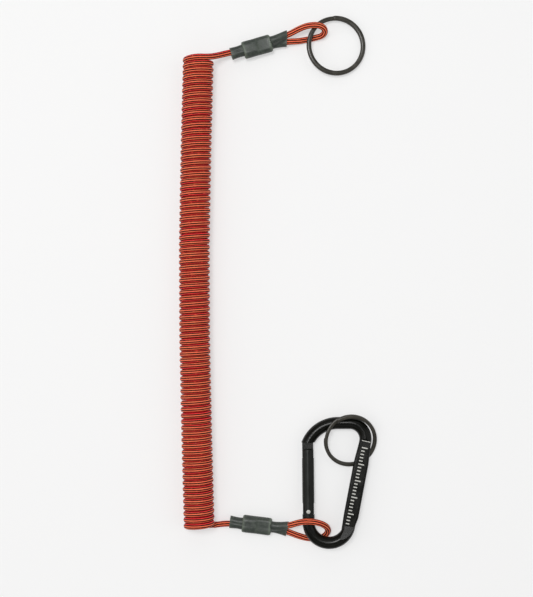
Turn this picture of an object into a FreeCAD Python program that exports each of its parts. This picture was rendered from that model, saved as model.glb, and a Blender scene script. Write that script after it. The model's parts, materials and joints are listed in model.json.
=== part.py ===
"""Coiled fishing-pliers tether: a braided coiled cord, looped and crimped at both ends, with a
snap hook and belt ring at one end and a split ring for the tool at the other.

Frame in mm: the tether lies on the plane Z = 0, coil along Y, snap hook at -Y, tool ring at +Y.
The origin is at the bottom centre of the object without its cord.
"""
import FreeCAD, Part
import math
import os

# Cord and coil
CORD_D = 3.7
COIL_OD = 18.7
COIL_LIFT = 0.05  # gap between the coil and the ground
COIL_AXIS = [(-62.7, 131.6), (-64.1, 78.9), (-65.1, 22.3), (-64.9, -34.4), (-63.7, -91.1), (-62.2, -144.6)]
TURN_SINK = 0.4  # how far the last half turn at each end is let into the fat tube
GROOVE_GAP = 0.05  # round a leader where it runs off across the tube

# Crimp ferrules and shrink sleeves, along their own axis from the coil side to the loop side
BORE_OFFSET = 1.9  # from the middle of a ferrule to each of its two bores
FERRULE_LENGTH = 15.0
FERRULE_WALL = 0.5
SLEEVE_WALL = 0.5
SLEEVE_FIT = 0.05  # gap between a ferrule and its sleeve
SLEEVE_TAIL = 16.7  # from the middle of the ferrule to the sleeve's end at the coil
SLEEVE_LIP = 18.1  # and to its end at the loop
TAIL_WIDTH = 6.8
LIP_WIDTH = 9.4
CORD_ROOM = 0.1  # gap round a cord inside a sleeve
SLEEVE_TAPER = 5.5  # length of each slope beside the ferrule
TAIL_OFFSET = 1.0  # how far off the sleeve's axis the cord lies in the tail
TAIL_RUN = 4.1  # length over which it moves across to its bore
ENTRY_RUN = 1.9  # from a ferrule to the point where the cord lines up with its bore
EXIT_RUN = 4.2  # the same on the loop side
CORD_TAIL = 1.5  # how far the cord's cut end stands out of its ferrule
UPPER_CENTRE = (-27.3, 141.4, 5.2)
UPPER_TURN = 16.1  # degrees from +X about +Z
UPPER_RISE = -2.0  # degrees up along the axis
UPPER_SIDE = 1  # the bore that the leader uses: 1 is left of the axis, -1 right
LOWER_CENTRE = (-27.5, -145.8, 3.8)
LOWER_TURN = -6.6
LOWER_RISE = 3.0
LOWER_SIDE = -1

# Split rings
TOOL_RING_OD = 35.7
TOOL_RING_WIDTH = 2.7
TOOL_RING_LAYER = 1.5  # height of one of its two turns
TOOL_RING_HANG = (3.15, 148.9)  # where its outer edge lies in the loop
TOOL_RING_AWAY = -22.0  # direction from there to its centre
TOOL_RING_RISE = 4.6  # from its low edge up to its high one
TOOL_RING_LIFT = 0.05
TOOL_RING_HIGH_SIDE = 180.0  # direction in which the ring rises
TOOL_RING_JOG = 121.0  # where the wire steps from one turn to the other
BELT_RING_OD = 32.2
BELT_RING_WIDTH = 2.2
BELT_RING_LAYER = 1.3
BELT_RING_CENTRE = (28.2, -94.8, 5.42)
BELT_RING_SPAN = 41.9  # the length over which it climbs from under the spine to over the top bar
BELT_RING_ROOM = 0.9  # room between it and the rod on both sides together
BELT_RING_HIGH_SIDE = 124.0
BELT_RING_JOG = 149.0
RING_LAYER_GAP = 0.03
RING_EDGE = 0.45  # how far the wire's rounded edges reach in
JOG_ANGLE = 44.0
END_GAP_ANGLE = 3.0

# Snap hook, in its own flat frame: U across, V along the gate, origin at the hinge pin
HOOK_PLACE = (3.05, -137.0, 6.65)
HOOK_YAW = 0.6
HOOK_RISE_U = 2.6
HOOK_DROP_V = 3.8
ROD_D = 7.3
BEND_RADIUS = 12.2
BEND_DROP = 6.5  # from the hinge pin down to the centre of the foot bend
SPINE_LEAN = 11.5
CORNER_RADIUS = 9.4
HOOK_TOP = 52.5  # from the hinge pin up to the top bar
NOSE_RADIUS = 19.8
NOSE_CENTRE_U = 18.0
NOSE_OVERLAP = 1.2  # how far the bent rod runs on below the nose's shoulder before it is cut
SPINE_WIDTH = 8.9
SPINE_WIDENING = 15.0  # length over which the flat widens from its upper shoulder
SPINE_NARROWING = 6.0  # and narrows again on its outer side above the foot bend
SPINE_THICKNESS = 4.5
SPINE_EDGE = 1.2  # rounding along the flat's long edges
SPINE_RISE = 1.8  # from the top corner's tangent up to the flat's upper shoulder
SPINE_SHOULDER = 1.3  # length of the slope down to the flat at its upper end
SPINE_RUNOUT = 9.0  # length over which the flat runs out into the foot bend
SPINE_FOOT = 2.5  # how far its inner edge runs on into the foot bend
SPINE_INSET = 0.3  # by which the flat's ends stay inside the rod

# Gate
GATE_D = 7.2
GATE_LENGTH = 37.3  # from the hinge pin to the free end
GATE_END_ROUND = 1.0
NOSE_GAP = 3.7  # from the gate's free end to the nose's shoulder
RIVET_D = 2.4
RIVET_HEAD = 0.25
LATCH_PIN_D = 1.8
LATCH_PIN_DROP = 2.3  # from the gate's free end to its latch pin
LATCH_PIN_SEAT = 1.2  # depth of the pin's blind seat in the upper half of the fork
LATCH_PIN_RECESS = 0.25  # from its other end to the gate's surface
RUNNING_FIT = 0.05  # radial gap where a pin or plunger turns or slides
SIDE_GAP = 0.15  # gap on each side of a tongue in its slot
HINGE_GAP = 0.3  # round the foot of the gate
HINGE_TONGUE = 2.6
HINGE_TONGUE_R = 3.1
HINGE_FLAT = 3.0  # from the pin to the flat that the plunger presses on
HINGE_FLAT_HALF = 2.1
HINGE_SLOT_DEPTH = 5.0  # from the pin to the end of the gate's lower slot
NOSE_TONGUE = 2.5
NOSE_HOOK_REACH = 1.2  # how far the hook passes under the latch pin
NOSE_HOOK_LENGTH = 1.6
LATCH_GAP = 0.25
NOSE_SLOT_GAP = 0.6  # from the hook to the end of the gate's upper slot
PLUNGER_D = 2.8
PLUNGER_LENGTH = 6.0
PLUNGER_REST_GAP = 0.05
SPRING_WIRE = 0.4
SPRING_TURNS = 9
SPRING_LENGTH = 10.0

# Routes of the cord outside the coil and the ferrules
UPPER_LEADER = [
    (-62.7, 133.05, 16.9),
    (-59.0, 133.05, 16.9),
    (-55.1, 133.7, 13.7),
    (-51.2, 135.2, 9.4),
    (-46.4, 137.1, 6.0),
]
UPPER_LOOP = [
    (-8.0, 149.2, 4.8),
    (-3.4, 151.2, 7.0),
    (1.8, 153.0, 9.4),
    (8.9, 153.6, 9.7),
    (13.3, 151.6, 7.2),
    (12.3, 148.4, 3.6),
    (6.9, 147.2, 1.95),
    (1.0, 145.9, 1.95),
    (-3.4, 145.1, 2.7),
    (-7.4, 144.9, 4.2),
]
LOWER_LEADER = [
    (-62.2, -146.05, 1.9),
    (-57.4, -146.05, 1.9),
    (-52.3, -145.9, 1.95),
    (-47.0, -145.0, 2.7),
]
LOWER_LOOP = [
    (-7.4, -150.8, 4.6),
    (-2.4, -152.6, 2.7),
    (3.2, -154.2, 1.95),
    (9.4, -154.2, 1.95),
    (14.0, -152.0, 2.2),
    (15.3, -148.0, 5.0),
    (12.2, -144.4, 9.7),
    (6.8, -142.2, 12.75),
    (0.4, -142.0, 12.75),
    (-3.9, -143.5, 9.6),
    (-7.3, -145.4, 5.8),
]

BOTTOM_BACK = -1
TOP_FRONT = 1


def vec(*values):
    """A vector from three numbers or from one tuple."""
    return FreeCAD.Vector(*values)


def fused(*shapes):
    """One clean solid from several."""
    whole = shapes[0].fuse(list(shapes[1:])).removeSplitter()
    return whole.Solids[0] if len(whole.Solids) == 1 else whole


def prism(points, z0, z1):
    """A straight-sided outline in the XY plane, made solid from z0 to z1."""
    corners = [vec(x, y, z0) for x, y in points]
    outline = Part.makePolygon(corners + corners[:1])
    return Part.Face(outline).extrude(vec(0, 0, z1 - z0))


def rectangle(x0, x1, y0, y1, z0, z1):
    """A box given by its six limits."""
    return Part.makeBox(x1 - x0, y1 - y0, z1 - z0, vec(x0, y0, z0))


def rod(diameter, start, end):
    """A round bar between two points."""
    along = end - start
    return Part.makeCylinder(diameter / 2, along.Length, start, along)


def route_path(points, label):
    """Straight runs joined by tangent arcs, each as large as its two runs allow."""
    points = [vec(*p) for p in points]
    edges = []
    radii = []
    at = points[0]
    for before, corner, after in zip(points, points[1:], points[2:]):
        back = (before - corner).normalize()
        ahead = (after - corner).normalize()
        half_turn = (math.pi - back.getAngle(ahead)) / 2
        shorter = min((before - corner).Length, (after - corner).Length)
        tangent = 0.45 * shorter
        radius = tangent / math.tan(half_turn)
        radii.append(round(radius, 1))
        middle = (back + ahead).normalize()
        inner = corner + middle * (radius / math.cos(half_turn) - radius)
        arc_start = corner + back * tangent
        arc_end = corner + ahead * tangent
        edges.append(Part.LineSegment(at, arc_start).toShape())
        edges.append(Part.Arc(arc_start, inner, arc_end).toShape())
        at = arc_end
    edges.append(Part.LineSegment(at, points[-1]).toShape())
    print(label, "arc radii in mm:", radii)
    return Part.Wire(edges)


def cord_tube(points, label):
    """A round cord along a route."""
    return sweep_disc(route_path(points, label), CORD_D / 2)


def sweep_disc(path, radius):
    """A solid of circular section along a smooth path."""
    first = path.OrderedEdges[0]
    start = first.valueAt(first.FirstParameter)
    along = first.tangentAt(first.FirstParameter)
    if path.OrderedVertexes[0].Point.distanceToPoint(start) > 1e-6:
        start = first.valueAt(first.LastParameter)
        along = first.tangentAt(first.LastParameter) * -1
    section = Part.Wire(Part.Circle(start, along, radius).toShape())
    return path.makePipeShell([section], True, False)


# Coil

def coil_route():
    """The coil's own axis, lying on the ground."""
    height = COIL_OD / 2 + COIL_LIFT
    return [(x, y, height) for x, y in COIL_AXIS]


def half_turn(axis_point, side_of_face):
    """The coil's last half turn, from the left round to a face at the top or the bottom."""
    turn_radius = (COIL_OD - CORD_D) / 2
    face = axis_point + vec(0, 0, turn_radius * side_of_face)
    left = axis_point + vec(-turn_radius, 0, 0)
    bow = axis_point + vec(-1, 0, side_of_face) * (turn_radius / math.sqrt(2))
    path = Part.Wire(Part.Arc(left, bow, face).toShape())
    return sweep_disc(path, CORD_D / 2)


def cord_groove(leader):
    """The room that a leader needs where it runs off across the end of the tube."""
    return sweep_disc(route_path(leader, "groove"), CORD_D / 2 + GROOVE_GAP)


def coil_cord():
    """The coil as one fat tube, its wall as thick as the cord, with a piece of turn at each end."""
    route = coil_route()
    outer = sweep_disc(route_path(route, "coil axis"), COIL_OD / 2)
    bore = sweep_disc(route_path(route, "coil bore"), COIL_OD / 2 - CORD_D)
    tube = outer.cut(bore).cut(cord_groove(UPPER_LEADER)).cut(cord_groove(LOWER_LEADER))
    step = CORD_D / 2 - TURN_SINK
    top = half_turn(vec(*route[0]) + vec(0, step, 0), TOP_FRONT)
    foot = half_turn(vec(*route[-1]) - vec(0, step, 0), BOTTOM_BACK)
    return fused(tube, top, foot)


# Ferrules and shrink sleeves

def end_place(centre, turn, rise):
    """Where an end fitting's own frame lies: X along its axis, Y across, Z up."""
    return FreeCAD.Placement(vec(*centre), FreeCAD.Rotation(turn, -rise, 0))


def upper_place():
    return end_place(UPPER_CENTRE, UPPER_TURN, UPPER_RISE)


def lower_place():
    return end_place(LOWER_CENTRE, LOWER_TURN, LOWER_RISE)


def stadium(x, width, height):
    """An upright slot-shaped outline across the fitting's axis."""
    half = height / 2
    flat = width / 2 - half
    corners = [vec(x, flat, -half), vec(x, flat, half), vec(x, -flat, half), vec(x, -flat, -half)]
    return Part.Wire([
        Part.Arc(corners[0], vec(x, flat + half, 0), corners[1]).toShape(),
        Part.LineSegment(corners[1], corners[2]).toShape(),
        Part.Arc(corners[2], vec(x, -flat - half, 0), corners[3]).toShape(),
        Part.LineSegment(corners[3], corners[0]).toShape(),
    ])


def ferrule_size():
    """Outer width and height of a ferrule."""
    return 2 * BORE_OFFSET + CORD_D + 2 * FERRULE_WALL, CORD_D + 2 * FERRULE_WALL


def ferrule():
    """An oval crimp ferrule with one bore for each leg of the cord."""
    width, height = ferrule_size()
    half = FERRULE_LENGTH / 2
    body = Part.Face(stadium(-half, width, height)).extrude(vec(FERRULE_LENGTH, 0, 0))
    for side in (-1, 1):
        start = vec(-half, side * BORE_OFFSET, 0)
        body = body.cut(rod(CORD_D, start, start + vec(FERRULE_LENGTH, 0, 0)))
    return body


def sleeve_skin(growth):
    """The sleeve's outline made solid, standing outside the ferrule and the cords by growth."""
    width, height = ferrule_size()
    open_height = CORD_D + 2 * CORD_ROOM + 2 * growth
    inner_tail = TAIL_WIDTH - 2 * SLEEVE_WALL + 2 * growth
    inner_lip = LIP_WIDTH - 2 * SLEEVE_WALL + 2 * growth
    full = 2 * (SLEEVE_FIT + growth)
    half = FERRULE_LENGTH / 2 + SLEEVE_FIT
    sections = [
        stadium(-SLEEVE_TAIL, inner_tail, open_height),
        stadium(-half - SLEEVE_TAPER, inner_tail, open_height),
        stadium(-half, width + full, height + full),
        stadium(half, width + full, height + full),
        stadium(half + SLEEVE_TAPER, inner_lip, open_height),
        stadium(SLEEVE_LIP, inner_lip, open_height),
    ]
    return Part.makeLoft(sections, True, True)


def leader_route(leader, place, side):
    """From the coil's end to the middle of the ferrule."""
    mouth = -FERRULE_LENGTH / 2 - ENTRY_RUN
    inside = [(mouth - TAIL_RUN, side * TAIL_OFFSET, 0), (mouth, side * BORE_OFFSET, 0), (0, side * BORE_OFFSET, 0)]
    return leader + [tuple(place.multVec(vec(*p))) for p in inside]


def loop_route(loop, place, side):
    """From the middle of the ferrule, round the ring or hook, and back to the cord's cut end."""
    mouth = FERRULE_LENGTH / 2 + EXIT_RUN
    cut_end = -FERRULE_LENGTH / 2 - CORD_TAIL
    out = [(0, side * BORE_OFFSET, 0), (mouth, side * BORE_OFFSET, 0)]
    back = [(mouth, -side * BORE_OFFSET, 0), (cut_end, -side * BORE_OFFSET, 0)]
    ends = [[tuple(place.multVec(vec(*p))) for p in part] for part in (out, back)]
    return ends[0] + loop + ends[1]


def upper_routes():
    place = upper_place()
    return leader_route(UPPER_LEADER, place, UPPER_SIDE), loop_route(UPPER_LOOP, place, UPPER_SIDE)


def lower_routes():
    place = lower_place()
    return leader_route(LOWER_LEADER, place, LOWER_SIDE), loop_route(LOWER_LOOP, place, LOWER_SIDE)


def shrink_sleeve(place, routes):
    """A heat-shrink sleeve drawn down over the ferrule and both legs of the cord."""
    sleeve = sleeve_skin(SLEEVE_WALL).cut(sleeve_skin(0.0)).transformed(place.toMatrix())
    for route in routes:
        sleeve = sleeve.cut(sweep_disc(route_path(route, "sleeve room"), CORD_D / 2 + CORD_ROOM))
    return sleeve


# Split rings

def ring_section(angle, z, mean_radius, width, layer):
    """The wire's section at one angle: a flat oval-edged strip standing in the radial plane."""
    across = width / 2
    up = layer / 2
    edge = RING_EDGE
    slope = edge * (1 - math.sqrt(0.5))
    quarter = [(across, up - edge), (across - slope, up - slope), (across - edge, up)]
    upper = quarter + [(-r, h) for r, h in reversed(quarter)]
    outline = upper + [(-r, -h) for r, h in upper]
    a = math.radians(angle)
    corners = [vec((mean_radius + r) * math.cos(a), (mean_radius + r) * math.sin(a), z + h) for r, h in outline]
    return Part.makePolygon(corners + corners[:1])


def split_ring(outer_d, width, layer, jog):
    """Two flat turns of wire with one step between them, beside the wire's two ends."""
    mean_radius = (outer_d - width) / 2
    rise = (layer + RING_LAYER_GAP) / 2
    half_jog = JOG_ANGLE / 2
    flat = 360 - JOG_ANGLE - END_GAP_ANGLE
    turns = []
    for z, start in ((-rise, jog + half_jog + END_GAP_ANGLE), (rise, jog + half_jog)):
        section = Part.Face(ring_section(start, z, mean_radius, width, layer))
        turns.append(section.revolve(vec(0, 0, 0), vec(0, 0, 1), flat))
    steps = 8
    sections = []
    for i in range(steps + 1):
        share = i / steps
        height = rise * (-math.cos(math.pi * share))
        sections.append(ring_section(jog - half_jog + JOG_ANGLE * share, height, mean_radius, width, layer))
    turns.append(Part.makeLoft(sections, True, True))
    return fused(*turns)


def ring_place(centre, tilt, high_side):
    """A ring lying aslant, its plane rising towards one side."""
    axis_angle = math.radians(high_side - 90)
    axis = vec(math.cos(axis_angle), math.sin(axis_angle), 0)
    return FreeCAD.Placement(vec(*centre), FreeCAD.Rotation(axis, tilt))


def tool_ring_place():
    """Held in the loop at one edge, it lies with the far edge on the ground."""
    away = math.radians(TOOL_RING_AWAY)
    x = TOOL_RING_HANG[0] + TOOL_RING_OD / 2 * math.cos(away)
    y = TOOL_RING_HANG[1] + TOOL_RING_OD / 2 * math.sin(away)
    z = TOOL_RING_RISE / 2 + TOOL_RING_LAYER + TOOL_RING_LIFT
    tilt = math.degrees(math.asin(TOOL_RING_RISE / TOOL_RING_OD))
    return ring_place((x, y, z), tilt, TOOL_RING_HIGH_SIDE)


def belt_ring_place():
    """It passes over the hook's top bar and under its spine, so a thicker rod tips it further."""
    climb = ROD_D + 2 * BELT_RING_LAYER + BELT_RING_ROOM
    tilt = math.degrees(math.asin(climb / BELT_RING_SPAN))
    return ring_place(BELT_RING_CENTRE, tilt, BELT_RING_HIGH_SIDE)


def tool_split_ring():
    ring = split_ring(TOOL_RING_OD, TOOL_RING_WIDTH, TOOL_RING_LAYER, TOOL_RING_JOG)
    return ring.transformed(tool_ring_place().toMatrix())


def belt_split_ring():
    ring = split_ring(BELT_RING_OD, BELT_RING_WIDTH, BELT_RING_LAYER, BELT_RING_JOG)
    return ring.transformed(belt_ring_place().toMatrix())


# Snap hook

def hook_place():
    """Where the snap hook's flat frame lies, tipped a little on what is under it."""
    return FreeCAD.Placement(vec(*HOOK_PLACE), FreeCAD.Rotation(HOOK_YAW, -HOOK_RISE_U, -HOOK_DROP_V))


def polar(centre, radius, angle):
    a = math.radians(angle)
    return centre + vec(radius * math.cos(a), radius * math.sin(a), 0)


def arc_edge(centre, radius, start, end):
    """An arc in the flat frame from one angle to another."""
    ends = [polar(centre, radius, a) for a in (start, (start + end) / 2, end)]
    return Part.Arc(*ends).toShape()


def hook_layout():
    """The centres and tangent points that shape the hook's centre line."""
    bend = vec(BEND_RADIUS, -BEND_DROP, 0)
    spine_foot = polar(bend, BEND_RADIUS, -SPINE_LEAN)
    lean = math.radians(SPINE_LEAN)
    along = vec(math.sin(lean), math.cos(lean), 0)
    right = vec(math.cos(lean), -math.sin(lean), 0)
    corner_v = HOOK_TOP - CORNER_RADIUS
    travel = (corner_v + CORNER_RADIUS * right.y - spine_foot.y) / along.y
    spine_head = spine_foot + along * travel
    corner = spine_head - right * CORNER_RADIUS
    nose = vec(NOSE_CENTRE_U, HOOK_TOP - NOSE_RADIUS, 0)
    return bend, spine_foot, spine_head, along, right, corner, nose


def nose_shoulder_v():
    return GATE_LENGTH + NOSE_GAP


def nose_end_angle(nose):
    """The angle at which the nose's arc has come down past its shoulder."""
    height = nose_shoulder_v() - NOSE_OVERLAP - nose.y
    return 180 - math.degrees(math.asin(height / NOSE_RADIUS))


def hook_rod():
    """The bent rod, from the hinge round to the nose, before it is cut."""
    bend, spine_foot, spine_head, _, _, corner, nose = hook_layout()
    bend_start = vec(0, -BEND_DROP, 0)
    path = Part.Wire([
        Part.LineSegment(vec(0, 0, 0), bend_start).toShape(),
        arc_edge(bend, BEND_RADIUS, 180, 360 - SPINE_LEAN),
        Part.LineSegment(spine_foot, spine_head).toShape(),
        arc_edge(corner, CORNER_RADIUS, -SPINE_LEAN, 90),
        Part.LineSegment(polar(corner, CORNER_RADIUS, 90), polar(nose, NOSE_RADIUS, 90)).toShape(),
        arc_edge(nose, NOSE_RADIUS, 90, nose_end_angle(nose)),
    ])
    return sweep_disc(path, ROD_D / 2)


def spine_frame():
    """The flat's own frame: X down the spine from its upper shoulder, Y out across it."""
    _, _, spine_head, along, right, _, _ = hook_layout()
    start = spine_head + along * SPINE_RISE
    return FreeCAD.Placement(start, FreeCAD.Rotation(along * -1, right, vec(0, 0, 1), "ZXY"))


def spine_length():
    """From the upper shoulder to the start of the foot bend."""
    _, spine_foot, spine_head, _, _, _, _ = hook_layout()
    return (spine_head - spine_foot).Length + SPINE_RISE


def spine_slab():
    """The flat of the spine, as wide as the rod at its ends and wider between them."""
    length = spine_length()
    half = SPINE_WIDTH / 2
    end_half = ROD_D / 2 - SPINE_INSET
    inner_foot = length + SPINE_FOOT
    outline = [(0, end_half), (SPINE_WIDENING, half), (length - SPINE_NARROWING, half), (length, end_half),
               (inner_foot + SPINE_FOOT, SPINE_FOOT - end_half), (inner_foot, SPINE_INSET - half),
               (length - SPINE_NARROWING, -half), (SPINE_WIDENING, -half), (0, -end_half)]
    slab = prism(outline, -SPINE_THICKNESS / 2, SPINE_THICKNESS / 2)
    sides = [e for e in slab.Edges if abs(e.BoundBox.ZLength) < 1e-6 and e.BoundBox.XLength > 1]
    slab = slab.makeFillet(SPINE_EDGE, sides)
    return slab.transformed(spine_frame().toMatrix())


def spine_cutters():
    """What is pressed away above and below the flat, running out into the foot bend."""
    length = spine_length()
    half = SPINE_THICKNESS / 2
    out = ROD_D / 2 + 0.1
    profile = [vec(0, 0, out + 1), vec(0, 0, out), vec(SPINE_SHOULDER, 0, half), vec(length, 0, half),
               vec(length + SPINE_RUNOUT, 0, out)]
    face = Part.Face(Part.makePolygon(profile + profile[:1]))
    above = face.extrude(vec(0, ROD_D * 2, 0))
    above.translate(vec(0, -ROD_D, 0))
    below = above.mirror(vec(0, 0, 0), vec(0, 0, 1))
    return [s.transformed(spine_frame().toMatrix()) for s in (above, below)]


def hinge_tongue():
    """The flat eye at the rod's foot, which the gate's lower fork straddles."""
    half = HINGE_TONGUE / 2
    eye = Part.makeCylinder(HINGE_TONGUE_R, HINGE_TONGUE, vec(0, 0, -half))
    neck = rectangle(-HINGE_TONGUE_R, HINGE_TONGUE_R, -BEND_DROP, 0, -half, half)
    cam = rectangle(-HINGE_FLAT_HALF, HINGE_FLAT_HALF, 0, HINGE_FLAT, -half, half)
    tongue = fused(eye, neck, cam)
    tongue = tongue.cut(rectangle(-ROD_D, ROD_D, HINGE_FLAT, ROD_D, -half, half))
    bore = RIVET_D / 2 + RUNNING_FIT
    return tongue.cut(Part.makeCylinder(bore, HINGE_TONGUE, vec(0, 0, -half)))


def latch_pin_v():
    return GATE_LENGTH - LATCH_PIN_DROP


def latch_pin_top():
    return NOSE_TONGUE / 2 + SIDE_GAP + LATCH_PIN_SEAT


def nose_tongue():
    """The flat hook below the nose, which the gate's latch pin swings into."""
    half = NOSE_TONGUE / 2
    shoulder = nose_shoulder_v()
    side = GATE_D / 2 - 0.2
    notch = LATCH_PIN_D / 2 + LATCH_GAP
    pin_v = latch_pin_v()
    plate = rectangle(-side, side - 0.2, pin_v + notch, shoulder + 1.0, -half, half)
    shank = rectangle(-side, -notch, pin_v - notch - NOSE_HOOK_LENGTH, pin_v + notch, -half, half)
    hook = rectangle(-side, NOSE_HOOK_REACH, pin_v - notch - NOSE_HOOK_LENGTH, pin_v - notch, -half, half)
    return fused(plate, shank, hook)


def carabiner_frame():
    """The snap hook's bent rod with its pressed flat, hinge eye and nose hook."""
    body = fused(hook_rod(), spine_slab())
    for cutter in spine_cutters():
        body = body.cut(cutter)
    gate_room = Part.makeCylinder(GATE_D / 2 + HINGE_GAP, 2 * ROD_D, vec(0, 0, -ROD_D))
    shoulder = nose_shoulder_v()
    below_nose = rectangle(-ROD_D, ROD_D, shoulder - ROD_D, shoulder, -ROD_D, ROD_D)
    body = body.cut(gate_room).cut(below_nose)
    whole = fused(body, hinge_tongue(), nose_tongue())
    return whole.transformed(hook_place().toMatrix())


def carabiner_gate():
    """The round gate: forked at the hinge and at the free end, bored for its spring."""
    radius = GATE_D / 2
    body = Part.makeCylinder(radius, GATE_LENGTH, vec(0, 0, 0), vec(0, 1, 0))
    end = [e for e in body.Edges if abs(e.BoundBox.YMin - GATE_LENGTH) < 1e-6 and e.BoundBox.YLength < 1e-6]
    body = body.makeFillet(GATE_END_ROUND, end)
    foot_rod = Part.makeCylinder(radius, radius, vec(0, -radius, 0), vec(0, 1, 0))
    foot = foot_rod.common(Part.makeCylinder(radius, GATE_D, vec(0, 0, -radius)))
    body = fused(body, foot)
    hinge_half = HINGE_TONGUE / 2 + SIDE_GAP
    body = body.cut(rectangle(-ROD_D, ROD_D, -ROD_D, HINGE_SLOT_DEPTH, -hinge_half, hinge_half))
    nose_half = NOSE_TONGUE / 2 + SIDE_GAP
    slot_end = latch_pin_v() - LATCH_PIN_D / 2 - LATCH_GAP - NOSE_HOOK_LENGTH - NOSE_SLOT_GAP
    body = body.cut(rectangle(-ROD_D, ROD_D, slot_end, GATE_LENGTH + 1, -nose_half, nose_half))
    bore_end = HINGE_FLAT + PLUNGER_REST_GAP + PLUNGER_LENGTH + SPRING_LENGTH
    bore_start = vec(0, HINGE_SLOT_DEPTH - 1, 0)
    body = body.cut(rod(PLUNGER_D + 2 * RUNNING_FIT, bore_start, vec(0, bore_end, 0)))
    body = body.cut(Part.makeCylinder(RIVET_D / 2, GATE_D, vec(0, 0, -radius)))
    seat = vec(0, latch_pin_v(), latch_pin_top())
    body = body.cut(rod(LATCH_PIN_D, vec(0, latch_pin_v(), -radius), seat))
    return body.transformed(hook_place().toMatrix())


def gate_hinge_rivet():
    """The rivet through the gate's fork and the hinge eye, with a low domed head at each end."""
    radius = RIVET_D / 2
    half = GATE_D / 2 - 0.05
    body = Part.makeCylinder(radius, 2 * half, vec(0, 0, -half))
    dome_radius = (radius ** 2 + RIVET_HEAD ** 2) / (2 * RIVET_HEAD)
    for side in (-1, 1):
        ball = Part.makeSphere(dome_radius, vec(0, 0, side * (half + RIVET_HEAD - dome_radius)))
        slug = Part.makeCylinder(radius, RIVET_HEAD, vec(0, 0, half if side > 0 else -half - RIVET_HEAD))
        body = fused(body, ball.common(slug))
    return body.transformed(hook_place().toMatrix())


def gate_latch_pin():
    """The cross pin in the gate's free end, pressed in from below into a blind seat."""
    bottom = vec(0, latch_pin_v(), LATCH_PIN_RECESS - GATE_D / 2)
    pin = rod(LATCH_PIN_D, bottom, vec(0, latch_pin_v(), latch_pin_top()))
    return pin.transformed(hook_place().toMatrix())


def gate_plunger():
    """The round pin that the spring holds against the hinge eye's flat."""
    start = vec(0, HINGE_FLAT + PLUNGER_REST_GAP, 0)
    pin = rod(PLUNGER_D, start, start + vec(0, PLUNGER_LENGTH, 0))
    rims = [e for e in pin.Edges if e.BoundBox.YLength < 1e-6]
    return pin.makeChamfer(0.2, rims).transformed(hook_place().toMatrix())


def gate_spring():
    """The compression spring behind the plunger."""
    start = HINGE_FLAT + PLUNGER_REST_GAP + PLUNGER_LENGTH
    coil_radius = (PLUNGER_D - SPRING_WIRE) / 2 - RUNNING_FIT
    free = SPRING_LENGTH - SPRING_WIRE - 0.04
    helix = Part.makeHelix(free / SPRING_TURNS, free, coil_radius)
    section = Part.Wire(Part.Circle(vec(coil_radius, 0, 0), vec(0, 1, 0), SPRING_WIRE / 2).toShape())
    spring = Part.Wire(helix).makePipeShell([section], True, True)
    spring.rotate(vec(0, 0, 0), vec(1, 0, 0), -90)
    spring.translate(vec(0, start + SPRING_WIRE / 2 + 0.02, 0))
    return spring.transformed(hook_place().toMatrix())


NODES = {
    "coil_cord": coil_cord,
    "upper_leader_cord": lambda: cord_tube(upper_routes()[0], "upper leader"),
    "upper_loop_cord": lambda: cord_tube(upper_routes()[1], "upper loop"),
    "lower_leader_cord": lambda: cord_tube(lower_routes()[0], "lower leader"),
    "lower_loop_cord": lambda: cord_tube(lower_routes()[1], "lower loop"),
    "upper_ferrule": lambda: ferrule().transformed(upper_place().toMatrix()),
    "lower_ferrule": lambda: ferrule().transformed(lower_place().toMatrix()),
    "upper_shrink_sleeve": lambda: shrink_sleeve(upper_place(), upper_routes()),
    "lower_shrink_sleeve": lambda: shrink_sleeve(lower_place(), lower_routes()),
    "tool_split_ring": tool_split_ring,
    "belt_split_ring": belt_split_ring,
    "carabiner_frame": carabiner_frame,
    "carabiner_gate": carabiner_gate,
    "gate_hinge_rivet": gate_hinge_rivet,
    "gate_latch_pin": gate_latch_pin,
    "gate_plunger": gate_plunger,
    "gate_spring": gate_spring,
}

os.makedirs("parts", exist_ok=True)
for name, make in NODES.items():
    shape = make()
    box = shape.BoundBox
    print(f"{name}: {len(shape.Solids)} solid, {shape.Volume:.1f} mm3, valid {shape.isValid()}, "
          f"x {box.XMin:.1f}..{box.XMax:.1f}, y {box.YMin:.1f}..{box.YMax:.1f}, z {box.ZMin:.2f}..{box.ZMax:.2f}")
    shape.exportStep(f"parts/{name}.step")
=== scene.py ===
"""A coiled tether for a hand tool: an orange cord wound in a close coil, with a sleeved loop at each end.
One loop carries a split ring and the other a snap hook, and a smaller split ring hangs on the hook."""
import json
import math

import bpy
from mathutils import Matrix, Vector, noise as noise3


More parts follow.
